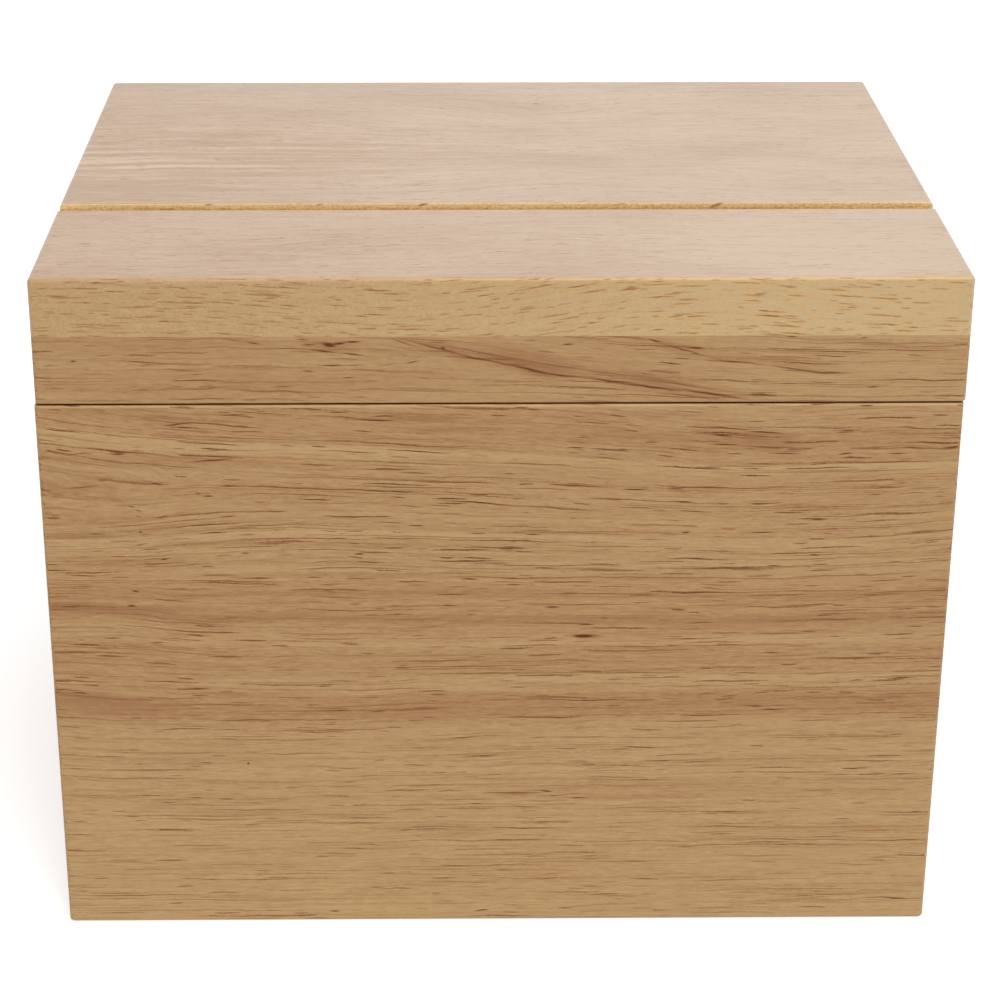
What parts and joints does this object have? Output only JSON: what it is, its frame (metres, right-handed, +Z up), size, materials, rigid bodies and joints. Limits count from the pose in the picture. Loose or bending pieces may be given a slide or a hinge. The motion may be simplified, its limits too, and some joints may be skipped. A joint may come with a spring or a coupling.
{
  "type": "recipe card box",
  "caption": "Wooden box with a hinged lid for filing recipe cards on edge; a groove across the lid's top stands a card up for reading.",
  "frame": {"origin": "middle of the box's footprint, on the surface it stands on", "axes": "+X to the right along the front, +Y to the back where the hinges are, +Z up"},
  "size_m": [0.1782, 0.1436, 0.141],
  "materials": {
    "lid_wood": "sanded rubberwood under a thin matt clear coat",
    "rail_wood": "sanded rubberwood under a thin matt clear coat",
    "body_wood": "sanded rubberwood under a thin matt clear coat",
    "floor_wood": "sanded plywood, uncoated",
    "hinge_brass": "satin brass",
    "screw_brass": "bright brass"
  },
  "bodies": {
    "box": {"body_front_panel": "body_wood", "body_back_panel": "body_wood", "body_left_panel": "body_wood", "body_right_panel": "body_wood", "body_floor_panel": "floor_wood", "left_hinge_body_leaf": "hinge_brass", "left_hinge_pin": "hinge_brass", "left_hinge_body_screws": "screw_brass", "right_hinge_body_leaf": "hinge_brass", "right_hinge_pin": "hinge_brass", "right_hinge_body_screws": "screw_brass"},
    "lid": {"lid_top_board": "lid_wood", "lid_front_rail": "rail_wood", "lid_back_rail": "rail_wood", "lid_left_rail": "rail_wood", "lid_right_rail": "rail_wood", "left_hinge_lid_leaf": "hinge_brass", "left_hinge_lid_screws": "screw_brass", "right_hinge_lid_leaf": "hinge_brass", "right_hinge_lid_screws": "screw_brass"}
  },
  "joints": [
    {"name": "lid_hinge", "type": "hinge", "parent": "box", "child": "lid", "pos_m": [0, 0.0683, 0.11575], "axis": [-1, 0, 0], "range_deg": [0, 100]}
  ]
}
